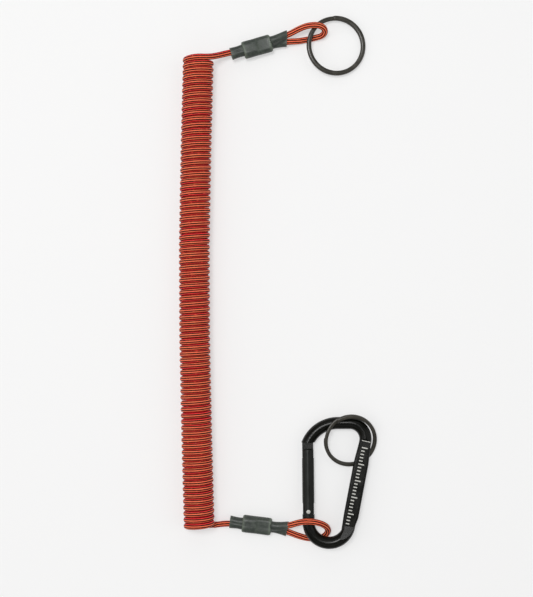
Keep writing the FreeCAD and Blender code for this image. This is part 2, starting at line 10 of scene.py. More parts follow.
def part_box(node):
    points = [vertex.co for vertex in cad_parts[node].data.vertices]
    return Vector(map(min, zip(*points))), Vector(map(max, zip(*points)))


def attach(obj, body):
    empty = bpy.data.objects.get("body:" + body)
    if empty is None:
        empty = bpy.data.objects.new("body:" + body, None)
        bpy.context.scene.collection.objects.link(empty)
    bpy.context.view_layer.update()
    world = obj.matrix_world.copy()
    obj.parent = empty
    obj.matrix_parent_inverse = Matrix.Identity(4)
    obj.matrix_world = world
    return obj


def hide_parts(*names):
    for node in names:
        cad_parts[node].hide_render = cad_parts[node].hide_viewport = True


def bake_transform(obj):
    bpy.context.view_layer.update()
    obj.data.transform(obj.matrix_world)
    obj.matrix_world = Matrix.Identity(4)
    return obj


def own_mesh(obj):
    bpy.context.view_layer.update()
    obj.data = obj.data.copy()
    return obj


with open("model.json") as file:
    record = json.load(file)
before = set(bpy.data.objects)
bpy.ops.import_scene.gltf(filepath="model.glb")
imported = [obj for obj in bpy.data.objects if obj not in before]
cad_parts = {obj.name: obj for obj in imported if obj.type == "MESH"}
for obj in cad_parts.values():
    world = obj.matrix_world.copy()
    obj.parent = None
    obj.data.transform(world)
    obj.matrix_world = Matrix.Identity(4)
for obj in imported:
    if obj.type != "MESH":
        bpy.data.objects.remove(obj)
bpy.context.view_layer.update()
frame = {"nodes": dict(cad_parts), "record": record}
scene = bpy.context.scene


# ---------------------------------------------------------------- camera
# It looks straight down on the tether as it lies on the table.
CAMERA_PLACE = Vector((-0.02208, -0.00966, 0.755))
CAMERA_LENS = 75.4

camera = bpy.data.objects.new("camera", bpy.data.cameras.new("camera"))
camera.location = CAMERA_PLACE
camera.data.lens = CAMERA_LENS
camera.data.sensor_width = 36.0
camera.data.clip_start = 0.01
scene.collection.objects.link(camera)
scene.camera = camera


# ---------------------------------------------------------------- table top
# A smooth white board, larger than the view, lit evenly from below so that it hardly shows shadows.
TABLE_SIZE = 6.0
TABLE_WHITE = (0.44, 0.44, 0.438, 1)
TABLE_GLOW = 0.475


def mesh_object(name, vertices, faces):
    """A new smooth piece from its points and faces."""
    mesh = bpy.data.meshes.new(name)
    mesh.from_pydata([tuple(v) for v in vertices], [], faces)
    mesh.validate()
    mesh.shade_smooth()
    piece = bpy.data.objects.new(name, mesh)
    scene.collection.objects.link(piece)
    return piece


def new_material(name, **sockets):
    """A material with one Principled shader, whose constant values are set on its own sockets."""
    material = bpy.data.materials.new(name)
    material.use_nodes = True
    shader = material.node_tree.nodes["Principled BSDF"]
    for socket, value in sockets.items():
        shader.inputs[socket.replace("_", " ")].default_value = value
    return material


def add_node(tree, kind, links=(), **settings):
    """A node with its settings, and its input sockets either linked or set."""
    node = tree.nodes.new("ShaderNode" + kind)
    for setting, value in settings.items():
        setattr(node, setting, value)
    for socket, source in dict(links).items():
        if isinstance(source, bpy.types.NodeSocket):
            tree.links.new(source, node.inputs[socket])
        else:
            node.inputs[socket].default_value = source
    return node


half = TABLE_SIZE / 2
corners = [(-half, -half, 0), (half, -half, 0), (half, half, 0), (-half, half, 0)]
table = mesh_object("table", corners, [(0, 1, 2, 3)])
table_paint = new_material("lit white board", Base_Color=TABLE_WHITE, Roughness=0.9, Specular_IOR_Level=0.0,
                           Emission_Color=(1, 1, 1, 1), Emission_Strength=TABLE_GLOW)
table.data.materials.append(table_paint)


# ---------------------------------------------------------------- soft studio light
# Four large diffusers stand round the table, a small one hangs above it, and the ceiling is dim.
LIGHTS = [
    ("left", (-1.1, 0.0, 0.9), (1.6, 1.0), 5.0),
    ("right", (1.1, 0.0, 0.9), (1.6, 1.0), 4.0),
    ("head", (0.0, 1.1, 1.0), (1.0, 1.6), 3.0),
    ("foot", (0.0, -1.1, 1.0), (1.0, 1.6), 2.0),
    ("above", (-0.26, 0.30, 1.60), (0.48, 0.48), 14.5),
]
CEILING_STRENGTH = 0.17

for name, place, (long_side, short_side), power in LIGHTS:
    lamp = bpy.data.lights.new("diffuser " + name, "AREA")
    lamp.shape = "RECTANGLE"
    lamp.size = short_side
    lamp.size_y = long_side
    lamp.energy = power
    stand = bpy.data.objects.new("diffuser " + name, lamp)
    stand.location = place
    stand.rotation_euler = (-Vector(place)).to_track_quat("-Z", "Y").to_euler()
    scene.collection.objects.link(stand)

world = bpy.data.worlds.new("studio")
world.use_nodes = True
world.node_tree.nodes["Background"].inputs["Color"].default_value = (1, 1, 1, 1)
world.node_tree.nodes["Background"].inputs["Strength"].default_value = CEILING_STRENGTH
scene.world = world
scene.view_settings.view_transform = "Standard"


# ---------------------------------------------------------------- coiled cord
# A braided cord with eight raised ribs and black tracer yarns in the furrows between them, heat-set
# into a close right-handed coil. A leader runs from each end of the coil into an end fitting.
CORD_RADIUS = 0.00185
RIBS = 8
# How deep a furrow is, and what share of that each side of a rib takes, from one furrow to the next.
FURROW_DEPTH = 0.00032
FURROW_PROFILE = [1.0, 0.22, 0.0, 0.22]
RIB_SIDES = len(FURROW_PROFILE)
RING_SIZE = RIBS * RIB_SIDES
COIL_RADIUS = 0.0075
COIL_LIFT = 0.0095
COIL_TURNS = 76.5
POINTS_PER_TURN = 12
COIL_STEPS = 3
COIL_AXIS = [(-0.0622, -0.14605), (-0.0637, -0.0911), (-0.0649, -0.0344), (-0.0651, 0.0223),
             (-0.0641, 0.0789), (-0.0627, 0.13305)]
LOWER_LEADER = [(-0.0277, -0.1477, 0.0038), (-0.0342, -0.1469, 0.0035), (-0.0390, -0.1451, 0.0032),
                (-0.0470, -0.1450, 0.0027), (-0.0523, -0.1459, 0.00195), (-0.0574, -0.14605, 0.0019)]
UPPER_LEADER = [(-0.0590, 0.13305, 0.0169), (-0.0551, 0.1337, 0.0137), (-0.0512, 0.1352, 0.0094),
                (-0.0464, 0.1371, 0.0060), (-0.0385, 0.1388, 0.0056), (-0.0341, 0.1414, 0.0054),
                (-0.0278, 0.1432, 0.0052)]


def axis_place(y):
    """Where the middle of the coil is at y: the coil lies in a slight bow."""
    for (x0, y0), (x1, y1) in zip(COIL_AXIS, COIL_AXIS[1:]):
        if y <= y1:
            break
    share = (y - y0) / (y1 - y0)
    return Vector((x0 + (x1 - x0) * share, y, COIL_LIFT))


def coil_points():
    """The control points of the coil, from the table side at its foot to the upper side at its head."""
    first, last = COIL_AXIS[0][1], COIL_AXIS[-1][1]
    radius = COIL_RADIUS / math.cos(math.pi / POINTS_PER_TURN)
    count = round(COIL_TURNS * POINTS_PER_TURN)
    points = []
    for step in range(count + 1):
        angle = math.pi + 2 * math.pi * step / POINTS_PER_TURN
        centre = axis_place(first + (last - first) * step / count)
        points.append(centre + Vector((radius * math.sin(angle), 0, radius * math.cos(angle))))
    return points


def smooth_line(points, steps):
    """The line of a NURBS spline with these control points, as points close together."""
    curve = bpy.data.curves.new("route", "CURVE")
    curve.dimensions = "3D"
    spline = curve.splines.new("NURBS")
    spline.points.add(len(points) - 1)
    for point, place in zip(spline.points, points):
        point.co = (*place, 1)
    spline.order_u = 3
    spline.use_endpoint_u = True
    spline.resolution_u = steps
    route = bpy.data.objects.new("route", curve)
    scene.collection.objects.link(route)
    mesh = bpy.data.meshes.new_from_object(route)
    line = [v.co.copy() for v in mesh.vertices]
    bpy.data.objects.remove(route)
    bpy.data.meshes.remove(mesh)
    bpy.data.curves.remove(curve)
    return line


# The order of a quad's corners, which are two on one ring of points and then two on the next.
FORWARDS = (0, 1, 2, 3)
BACKWARDS = (3, 2, 1, 0)
ROUND_BACK = (0, 3, 2, 1)


def loft(name, rings, order=FORWARDS, capped=True):
    """A skin drawn through rings of points, with its quads' corners in the order given, and its ends closed
    if capped.
    """
    count = len(rings[0])
    faces = []
    for i in range(len(rings) - 1):
        here, ahead = i * count, (i + 1) * count
        for k in range(count):
            after = (k + 1) % count
            quad = (here + k, here + after, ahead + after, ahead + k)
            faces.append(tuple(quad[corner] for corner in order))
    if capped:
        first = tuple(range(count))
        last = tuple((len(rings) - 1) * count + k for k in first)
        faces += [first[::-1], last] if order == FORWARDS else [first, last[::-1]]
    return mesh_object(name, [v for ring in rings for v in ring], faces)


def ribbed_cord(name, line, guides, turned):
    """A cord's skin along a line. Its ribs start on the side of the guide, and turn slowly round the cord."""
    rings, along, run = [], [], 0.0
    side = None
    for i, point in enumerate(line):
        ahead = (line[min(i + 1, len(line) - 1)] - line[max(i - 1, 0)]).normalized()
        side = guides[i] if guides[i] is not None else side
        side = (side - ahead * side.dot(ahead)).normalized()
        up = ahead.cross(side)
        run += (point - line[i - 1]).length if i else 0.0
        along.append(run)
        ring = []
        for k in range(RING_SIZE):
            angle = 2 * math.pi * k / RING_SIZE + turned(run)
            reach = CORD_RADIUS - FURROW_DEPTH * FURROW_PROFILE[k % RIB_SIDES]
            ring.append(point + (side * math.cos(angle) + up * math.sin(angle)) * reach)
        rings.append(ring)
    piece = loft(name, rings)
    lay = piece.data.uv_layers.new(name="lay")
    for face in piece.data.polygons:
        closing = any(v % RING_SIZE == RING_SIZE - 1 for v in face.vertices)
        for loop, vertex in zip(face.loop_indices, face.vertices):
            ring, k = divmod(vertex, RING_SIZE)
            around = 1.0 if k == 0 and closing else k / RING_SIZE
            lay.data[loop].uv = (around, along[ring] * 1000)
    return piece


coil = coil_points()
route = LOWER_LEADER + coil + UPPER_LEADER
coil_line = smooth_line([Vector(p) for p in route], COIL_STEPS)
# The lower leader keeps its lay over this share of its length.
STRAIGHT_SHARE = 0.6
# How far the lay drifts round the cord, in radians, and how often, in radians a metre.
LAY_DRIFTS = [(0.35, 9.0), (0.2, 23.0)]


def coil_guides(line):
    """On the coil the ribs keep their place towards its outside. The lower leader turns half round on its
    way there, and the upper one keeps its lay."""
    foot = next(i for i, p in enumerate(line) if p.x < COIL_AXIS[0][0])
    head = max(i for i, p in enumerate(line) if p.x < COIL_AXIS[-1][0])
    guides = []
    for i, p in enumerate(line):
        if foot <= i <= head:
            centre = axis_place(p.y)
            guides.append(Vector((p.x - centre.x, 0, p.z - centre.z)))
        elif i < foot:
            ahead = (line[i + 1] - p).normalized()
            turned = max(0.0, (i / foot - STRAIGHT_SHARE) / (1 - STRAIGHT_SHARE))
            guides.append(Matrix.Rotation(math.pi * (1 - turned), 3, ahead) @ Vector((0, 0, -1)))
        else:
            guides.append(None)
    return guides, foot, head


def lay_drift(run):
    return sum(reach * math.sin(run * rate) for reach, rate in LAY_DRIFTS)


guides, foot_ring, head_ring = coil_guides(coil_line)
coiled_cord = ribbed_cord("coiled_cord", coil_line, guides, lay_drift)


def new_group(name, inputs, outputs):
    """An empty shader node group with these sockets, its input sockets and its output node."""
    group = bpy.data.node_groups.new(name, "ShaderNodeTree")
    for socket, kind in inputs.items():
        group.interface.new_socket(socket, in_out="INPUT", socket_type="NodeSocket" + kind)
    for socket, kind in outputs.items():
        group.interface.new_socket(socket, in_out="OUTPUT", socket_type="NodeSocket" + kind)
    return group, group.nodes.new("NodeGroupInput").outputs, group.nodes.new("NodeGroupOutput").inputs


def maths(tree, operation, *values):
    """The result of one sum on numbers or sockets."""
    node = tree.nodes.new("ShaderNodeMath")
    node.operation = operation
    for socket, value in zip(node.inputs, values):
        if isinstance(value, bpy.types.NodeSocket):
            tree.links.new(value, socket)
        else:
            socket.default_value = value
    return node.outputs[0]


def rest_of(tree, share):
    """What a share leaves of one."""
    return maths(tree, "SUBTRACT", 1.0, share)


def product(tree, first, second):
    return maths(tree, "MULTIPLY", first, second)


def ramp(tree, value, low, high):
    """A soft step from 0 at low to 1 at high."""
    return add_node(tree, "MapRange", {"Value": value, "From Min": low, "From Max": high},
                    interpolation_type="SMOOTHSTEP").outputs[0]


def blend_colors(tree, share, first, second):
    node = add_node(tree, "Mix", data_type="RGBA")
    for socket, value in ((node.inputs[0], share), (node.inputs[6], first), (node.inputs[7], second)):
        if isinstance(value, bpy.types.NodeSocket):
            tree.links.new(value, socket)
        else:
            socket.default_value = value
    return node.outputs[2]


def noise(tree, vector, scale, detail=2.0):
    return add_node(tree, "TexNoise", {"Vector": vector, "Scale": scale, "Detail": detail}).outputs[0]


def place_group(material, group, **sockets):
    """One copy of a group in a material, with its own values."""
    node = material.node_tree.nodes.new("ShaderNodeGroup")
    node.node_tree = group
    for socket, value in sockets.items():
        node.inputs[socket.replace("_", " ")].default_value = value
    return node.outputs


def dress(material, outputs, **links):
    """Links a group's outputs to the material's shader, a height by way of a Bump node."""
    tree = material.node_tree
    shader = tree.nodes["Principled BSDF"]
    for socket, output in links.items():
        if socket == "Height":
            height, strength, distance = output
            bump = add_node(tree, "Bump", {"Height": outputs[height], "Strength": strength,
                                           "Distance": distance})
            tree.links.new(bump.outputs[0], shader.inputs["Normal"])
        else:
            tree.links.new(outputs[output], shader.inputs[socket.replace("_", " ")])


# How far a yarn leans across its rib, in plait lengths, and how round it looks.
PLAIT_LEAN = 0.9
PLAIT_FULLNESS = 0.6
# How often crimson patches, uneven yarns and tracer dashes come in each mm, and how strongly they show.
# PLAIT_SHADE is the painted shade in the dips between yarns.
PATCH_SCALE = 0.16
YARN_SCALE = 1.4
DASH_SCALE = 0.42
PATCH_SHARE = 0.28
PLAIT_SHADE = 0.22
YARN_SHADE = 0.06


def braided_ribs():
    """Yarns plaited along each rib, black tracers in dashes in the furrows, random crimson dye patches,
    painted shade in the furrows and between yarns, and painted crimson shade on the sides away from the
    guide.
    """
    tree, given, result = new_group(
        "braided ribs",
        {"Crest": "Color", "Flank": "Color", "Furrow": "Color", "Tracer": "Color", "Flank Share": "Float",
         "Tracer Share": "Float", "Plait Length": "Float"},
        {"Color": "Color", "Roughness": "Float", "Height": "Float"})
    lay = add_node(tree, "SeparateXYZ", {"Vector": add_node(tree, "UVMap", uv_map="lay").outputs[0]})
    around, along = lay.outputs[0], lay.outputs[1]
    rib = product(tree, around, RIBS)
    across = maths(tree, "FRACT", rib)
    odd = maths(tree, "MODULO", maths(tree, "FLOOR", rib), 2.0)
    crest = rest_of(tree, maths(tree, "ABSOLUTE", maths(tree, "MULTIPLY_ADD", across, 2.0, -1.0)))
    either_way = maths(tree, "MULTIPLY_ADD", odd, 2.0, -1.0)
    lean = product(tree, either_way, product(tree, across, PLAIT_LEAN))
    beat = maths(tree, "ADD", maths(tree, "DIVIDE", along, given["Plait Length"]), lean)
    wave = maths(tree, "ABSOLUTE", maths(tree, "SINE", product(tree, beat, math.pi)))
    plait = maths(tree, "POWER", wave, PLAIT_FULLNESS)
    run = add_node(tree, "CombineXYZ", {"X": maths(tree, "FLOOR", rib), "Y": along}).outputs[0]
    patches = ramp(tree, noise(tree, run, PATCH_SCALE), 0.36, 0.66)
    yarns = ramp(tree, noise(tree, run, YARN_SCALE, 1.0), 0.3, 0.75)
    dashes = ramp(tree, noise(tree, run, DASH_SCALE, 1.0), 0.22, 0.40)
    outward = maths(tree, "COSINE", product(tree, around, 2 * math.pi))
    # Painted crimson shade on the sides turned away from the guide, where the coil's turns face each other,
    # and crimson dye patches at random.
    painted_shade_inside = product(tree, rest_of(tree, ramp(tree, outward, 0.30, 0.80)), given["Flank Share"])
    crimson_patches_and_shade = maths(tree, "MAXIMUM", painted_shade_inside, product(tree, patches, PATCH_SHARE))
    color = blend_colors(tree, crimson_patches_and_shade, given["Crest"], given["Flank"])
    # Painted shade in the dips between the plaited yarns.
    color = blend_colors(tree, product(tree, rest_of(tree, plait), PLAIT_SHADE), color, given["Furrow"])
    color = blend_colors(tree, product(tree, yarns, YARN_SHADE), color, given["Furrow"])
    # Painted shade darkening the furrows between the ribs.
    color = blend_colors(tree, rest_of(tree, ramp(tree, crest, 0.12, 0.52)), color, given["Furrow"])
    furrow = rest_of(tree, ramp(tree, crest, 0.40, 0.66))
    black = product(tree, product(tree, furrow, dashes), given["Tracer Share"])
    color = blend_colors(tree, black, color, given["Tracer"])
    height = product(tree, plait, ramp(tree, crest, 0.0, 0.5))
    tree.links.new(color, result["Color"])
    tree.links.new(maths(tree, "MULTIPLY_ADD", plait, -0.18, 0.62), result["Roughness"])
    tree.links.new(height, result["Height"])
    return tree


CORD_ORANGE = (1.0, 0.215, 0.095, 1)
# The crimson colours both random dye patches and the painted shade on the coil's inward sides.
CRIMSON_DYE_AND_SHADE = (0.95, 0.009, 0.040, 1)
# The furrow colour is painted shade in the furrows and in the dips between yarns, and it also darkens uneven
# yarns at random.
FURROW_SHADE_AND_DARK_YARN = (0.20, 0.003, 0.003, 1)
TRACER_BLACK = (0.003, 0.001, 0.001, 1)
PLAIT_LENGTH = 0.58
cord_ribs = braided_ribs()


def cord_material(name, painted_shade_share):
    material = new_material(name, Specular_IOR_Level=0.12)
    plait = place_group(material, cord_ribs, Crest=CORD_ORANGE, Flank=CRIMSON_DYE_AND_SHADE, Furrow=FURROW_SHADE_AND_DARK_YARN,
                        Tracer=TRACER_BLACK, Flank_Share=painted_shade_share, Tracer_Share=1.0,
                        Plait_Length=PLAIT_LENGTH)
    dress(material, plait, Base_Color="Color", Roughness="Roughness", Height=("Height", 0.7, 0.00016))
    return material


# The coil's cord takes painted crimson shade on the sides where its turns face each other; the straight loops
# take none.
coiled_cord.data.materials.append(cord_material("heat-set coiled cord", 0.95))
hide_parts("coil_cord", "lower_leader_cord", "upper_leader_cord")
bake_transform(coiled_cord)
for index in range(len(coiled_cord.data.vertices)):
    ring = index // RING_SIZE


# ---------------------------------------------------------------- cord loops
# Each end of the cord is doubled back through its ferrule, round the ring or the foot of the hook.
UPPER_LOOP = [(-0.0278, 0.1432, 0.0052), (-0.0227, 0.1447, 0.0050), (-0.0198, 0.1444, 0.0065),
              (-0.0150, 0.1458, 0.0063), (-0.0080, 0.1490, 0.0052), (-0.0034, 0.1512, 0.0070),
              (0.0018, 0.1530, 0.0094), (0.0089, 0.1536, 0.0097), (0.0133, 0.1516, 0.0072),
              (0.0123, 0.1484, 0.0036), (0.0069, 0.1472, 0.00195), (0.0010, 0.1459, 0.00195),
              (-0.0034, 0.1451, 0.0027), (-0.0080, 0.1447, 0.0037), (-0.0146, 0.1442, 0.0031),
              (-0.0195, 0.1429, 0.0033), (-0.0217, 0.1410, 0.0050), (-0.0354, 0.1371, 0.0055)]
LOWER_LOOP = [(-0.0277, -0.1477, 0.0038), (-0.0225, -0.1483, 0.0041), (-0.0196, -0.1475, 0.0026),
              (-0.0146, -0.1481, 0.0029), (-0.0080, -0.1503, 0.0036), (-0.0024, -0.1526, 0.0027),
              (0.0032, -0.1542, 0.00195), (0.0094, -0.1542, 0.00195), (0.0140, -0.1520, 0.0022),
              (0.0153, -0.1480, 0.0050), (0.0122, -0.1444, 0.0097), (0.0068, -0.1422, 0.01275),
              (0.0004, -0.1420, 0.01275), (-0.0039, -0.1435, 0.0096), (-0.0080, -0.1454, 0.0064),
              (-0.0146, -0.1464, 0.0061), (-0.0196, -0.1460, 0.0058), (-0.0220, -0.1445, 0.0041),
              (-0.0362, -0.1429, 0.0033)]

LOOP_STEPS = 14
# The lay of a straight cord turns round it this many radians in each metre.
LOOP_LAY_RATE = 14.0


def loop_lay(run):
    return LOOP_LAY_RATE * run


loop_material = cord_material("straight cord", 0.0)
for name, route, body in (("upper_loop", UPPER_LOOP, "upper_end"),
                          ("lower_loop", LOWER_LOOP, "lanyard_lower_end")):
    line = smooth_line([Vector(p) for p in route], LOOP_STEPS)
    loop = ribbed_cord(name, line, [Vector((0, 0, 1))] + [None] * (len(line) - 1), loop_lay)
    loop.data.materials.append(loop_material)
    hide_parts(name + "_cord")
    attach(loop, body)


# ---------------------------------------------------------------- crimp ferrules
# An oval aluminium ferrule, drawn and cut to length, is crimped on both legs of the cord at each
# end. It lies inside the sleeve.
LINE_STRETCH = (0.06, 1.0, 1.0)
PATINA_SHARE = 0.6


def drawn_metal():
    """Fine lines along the metal's length, and dull patches from handling."""
    tree, given, result = new_group(
        "drawn metal",
        {"Metal": "Color", "Patina": "Color", "Line Scale": "Float"},
        {"Color": "Color", "Roughness": "Float", "Height": "Float"})
    place = add_node(tree, "TexCoord").outputs["Object"]
    stretched = add_node(tree, "Mapping", {"Vector": place, "Scale": LINE_STRETCH}).outputs[0]
    lines = noise(tree, stretched, given["Line Scale"], 3.0)
    patches = ramp(tree, noise(tree, place, 160.0, 3.0), 0.42, 0.72)
    color = blend_colors(tree, product(tree, patches, PATINA_SHARE), given["Metal"], given["Patina"])
    tree.links.new(color, result["Color"])
    uneven = maths(tree, "MULTIPLY_ADD", patches, 0.16, 0.26)
    tree.links.new(maths(tree, "MULTIPLY_ADD", lines, 0.12, uneven), result["Roughness"])
    tree.links.new(lines, result["Height"])
    return tree


drawn = drawn_metal()


def metal_material(name, metal, patina, line_scale):
    material = new_material(name, Metallic=1.0)
    look = place_group(material, drawn, Metal=metal, Patina=patina, Line_Scale=line_scale)
    dress(material, look, Base_Color="Color", Roughness="Roughness", Height=("Height", 0.25, 0.00005))
    return material


def refinish(node, material):
    """Gives a CAD node this material."""
    for slot in frame["nodes"][node].material_slots:
        slot.material = material


ALUMINIUM = (0.72, 0.72, 0.73, 1)
DULL_ALUMINIUM = (0.45, 0.45, 0.46, 1)
ferrule_metal = metal_material("drawn aluminium", ALUMINIUM, DULL_ALUMINIUM, 2600.0)
for node in ("upper_ferrule", "lower_ferrule"):
    refinish(node, ferrule_metal)


# ---------------------------------------------------------------- shrink sleeves
# A dark grey-green shrink tube is drawn down over each ferrule and both legs of the cord. It is
# tightest in the necks beside the ferrule, and its ends stand open where they were cut.
SLEEVE_WALL = 0.00045
END_POINTS = 14
SIDE_POINTS = 10
# How often creases come in each mm along and across, and how deep they are in mm.
CREASES = [(0.45, 0.6, 0.13), (1.3, 1.6, 0.05)]
# Where the slanting cut of the mouth begins along the axis, and how long it is, in mm.
MOUTH_START = 11.0
MOUTH_LENGTH = 7.1
# Along the axis in mm, then the middle of each leg across and up, the radius round it, the height to
# which the ferrule's flat holds the tube, how far it sinks between the legs, and how much paler it is there.
SLEEVE_STATIONS = [
    (-16.7, (-1.0, 0.0), (1.05, 0.0), 2.30, 9.0, 0.0, 0.8),
    (-16.3, (-0.95, 0.0), (1.0, 0.0), 2.28, 9.0, 0.0, 0.3),
    (-14.4, (-0.75, 0.0), (0.95, 0.0), 2.25, 9.0, 0.1, 0.0),
    (-12.4, (-0.60, 0.0), (0.90, 0.0), 2.24, 9.0, 0.15, 0.0),
    (-10.8, (-0.60, 0.0), (1.00, 0.0), 2.24, 9.0, 0.15, 0.0),
    (-9.4, (-0.65, 0.0), (1.15, 0.0), 2.24, 9.0, 0.10, 0.0),
    (-8.5, (-0.80, 0.0), (1.25, 0.0), 2.22, 9.0, 0.0, 0.0),
    (-8.45, (-1.15, 0.0), (1.40, 0.0), 2.32, 9.0, 0.0, 0.0),
    (-8.6, (-1.55, 0.0), (1.65, 0.0), 2.52, 9.0, 0.0, 0.5),
    (-8.75, (-1.80, 0.0), (1.85, 0.0), 2.72, 9.0, 0.0, 1.0),
    (-8.4, (-1.93, 0.0), (1.93, 0.0), 2.84, 9.0, 0.0, 0.8),
    (-7.2, (-1.95, 0.0), (1.95, 0.0), 2.88, 9.0, 0.0, 0.1),
    (-4.5, (-1.93, 0.0), (1.93, 0.0), 2.84, 9.0, 0.0, 0.0),
    (-1.2, (-1.93, 0.0), (1.93, 0.0), 2.84, 9.0, 0.0, 0.05),
    (-0.7, (-1.94, 0.0), (1.94, 0.0), 2.86, 2.75, 0.0, 0.3),
    (-0.3, (-1.95, 0.0), (1.95, 0.0), 2.86, 2.50, 0.0, 0.15),
    (3.4, (-1.97, 0.0), (1.97, 0.0), 2.88, 2.48, 0.0, 0.1),
    (6.6, (-1.97, 0.0), (1.97, 0.0), 2.90, 2.50, 0.0, 0.1),
    (7.25, (-1.97, 0.0), (1.97, 0.0), 2.88, 2.70, 0.0, 0.8),
    (7.75, (-1.88, -0.03), (1.88, 0.03), 2.80, 9.0, 0.0, 1.0),
    (8.0, (-1.65, -0.25), (1.65, 0.25), 2.56, 9.0, 0.0, 0.6),
    (8.02, (-1.35, -0.65), (1.35, 0.65), 2.34, 9.0, 0.0, 0.0),
    (8.2, (-1.10, -1.00), (1.10, 1.00), 2.22, 9.0, 0.0, 0.0),
    (8.7, (-0.98, -1.25), (0.98, 1.25), 2.20, 9.0, 0.2, 0.0),
    (10.0, (-0.90, -1.40), (0.90, 1.40), 2.20, 9.0, 0.4, 0.0),
    (11.4, (-1.00, -1.45), (1.00, 1.45), 2.20, 9.0, 0.5, 0.05),
    (13.2, (-1.20, -1.45), (1.20, 1.45), 2.20, 9.0, 0.6, 0.1),
    (15.2, (-1.50, -1.30), (1.50, 1.30), 2.22, 9.0, 0.65, 0.1),
    (17.0, (-1.80, -1.10), (1.80, 1.10), 2.25, 9.0, 0.6, 0.1),
    (17.8, (-1.85, -1.00), (1.85, 1.00), 2.28, 9.0, 0.55, 0.3),
    (18.1, (-1.90, -0.95), (1.90, 0.95), 2.28, 9.0, 0.55, 0.8),
]


def sleeve_ring(station, side_of_leader, slant, seed):
    """One section of a sleeve: the skin drawn round two circles, sunk between them."""
    along, low, high, radius, flat, sink, _ = station
    if side_of_leader < 0 and along < 0:
        low, high = (-high[0], low[1]), (-low[0], high[1])
    low, high = Vector(low), Vector(high)
    lean = (high - low).normalized()
    side = Vector((-lean.y, lean.x))
    points = []
    for centre, turn in ((high, 0.0), (low, math.pi)):
        ahead, left = (lean, side) if turn == 0.0 else (-lean, -side)
        for k in range(END_POINTS):
            angle = math.pi * (k / (END_POINTS - 1) - 0.5)
            points.append(centre + (ahead * math.cos(angle) + left * math.sin(angle)) * radius)
        start = centre + left * radius
        run = (low - high) if turn == 0.0 else (high - low)
        for k in range(1, SIDE_POINTS + 1):
            share = k / (SIDE_POINTS + 1)
            points.append(start + run * share - left * sink * math.sin(math.pi * share))
    ring = []
    for point in points:
        up = min(point.y, flat)
        crease = 0.0
        for lengthwise, crosswise, depth in CREASES:
            spot = Vector((along * lengthwise, point.x * crosswise + seed, up * crosswise))
            crease += noise3.noise(spot) * depth
        outward = Vector((point.x, up)).normalized()
        x = along + slant * point.x * max(0.0, (along - MOUTH_START) / MOUTH_LENGTH)
        ring.append(Vector((x, point.x + outward.x * crease, up + outward.y * crease)) / 1000)
    return ring


def shrink_sleeve(name, node, ferrule, turn, rise, side_of_leader, slant, seed):
    """A sleeve along its ferrule's axis. The sections are its inner skin, and its wall grows outwards."""
    low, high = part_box(ferrule)
    place = Matrix.Translation((Vector(low) + Vector(high)) / 2)
    place = place @ Matrix.Rotation(math.radians(turn), 4, "Z")
    place = place @ Matrix.Rotation(math.radians(-rise), 4, "Y")
    rings = []
    for station in SLEEVE_STATIONS:
        rings.append([place @ v for v in sleeve_ring(station, side_of_leader, slant, seed)])
    sleeve = loft(name, rings, order=BACKWARDS, capped=False)
    pale_edge = sleeve.data.attributes.new("pale_edge", "FLOAT", "POINT")
    pale_edge.data.foreach_set("value", [station[-1] for station in SLEEVE_STATIONS for _ in rings[0]])
    smooth = sleeve.modifiers.new("smooth", "SUBSURF")
    smooth.levels = smooth.render_levels = 1
    wall = sleeve.modifiers.new("wall", "SOLIDIFY")
    wall.thickness = SLEEVE_WALL
    wall.offset = -1.0
    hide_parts(node)
    return sleeve


BLOTCH_SHARE = 0.22
PALE_EDGE_SHARE = 0.75


def shrunk_tube():
    """A dull skin, paler at its shoulders and cut ends as the stations give, with a fine grain and faint
    blotches.
    """
    tree, given, result = new_group(
        "shrunk tube",
        {"Tube": "Color", "Stretched": "Color"},
        {"Color": "Color", "Roughness": "Float", "Height": "Float"})
    place = add_node(tree, "TexCoord").outputs["Object"]
    # How much paler the skin is, from the stations: most at the shoulders and cut ends.
    pale_edge = add_node(tree, "Attribute", attribute_name="pale_edge").outputs["Fac"]
    blotches = ramp(tree, noise(tree, place, 420.0, 3.0), 0.35, 0.75)
    grain = noise(tree, place, 5200.0, 2.0)
    share = maths(tree, "MULTIPLY_ADD", blotches, BLOTCH_SHARE, product(tree, pale_edge, PALE_EDGE_SHARE))
    color = blend_colors(tree, share, given["Tube"], given["Stretched"])
    tree.links.new(color, result["Color"])
    tree.links.new(maths(tree, "MULTIPLY_ADD", blotches, 0.14, 0.40), result["Roughness"])
    tree.links.new(maths(tree, "ADD", grain, product(tree, blotches, 2.0)), result["Height"])
    return tree


TUBE_GREY = (0.026, 0.033, 0.028, 1)
PALE_EDGE_GREY = (0.120, 0.145, 0.112, 1)
sleeve_material = new_material("dark shrink tube", Specular_IOR_Level=0.4)
tube_look = place_group(sleeve_material, shrunk_tube(), Tube=TUBE_GREY, Stretched=PALE_EDGE_GREY)
dress(sleeve_material, tube_look, Base_Color="Color", Roughness="Roughness", Height=("Height", 0.35, 0.00004))
# Each sleeve's turn and rise in degrees, the side its leader comes from, its mouth's slant, and its creases.
for name, turn, rise, side, slant, seed, body in (
        ("upper", 16.1, -2.0, 1, 0.29, 0.0, "upper_end"),
        ("lower", -6.6, 3.0, -1, 0.10, 7.3, "lanyard_lower_end")):
    sleeve = shrink_sleeve(name + "_sleeve", name + "_shrink_sleeve", name + "_ferrule", turn, rise, side,
                           slant, seed)
    sleeve.data.materials.append(sleeve_material)
    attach(sleeve, body)


# ---------------------------------------------------------------- split rings
# Each ring is a spring steel wire wound twice round on itself, blackened. It steps across from one
# turn to the other beside its two cut ends. One ring takes the tool and the other hangs on the hook.
LAYER_GAP = 0.00003
WIRE_POINTS = 20
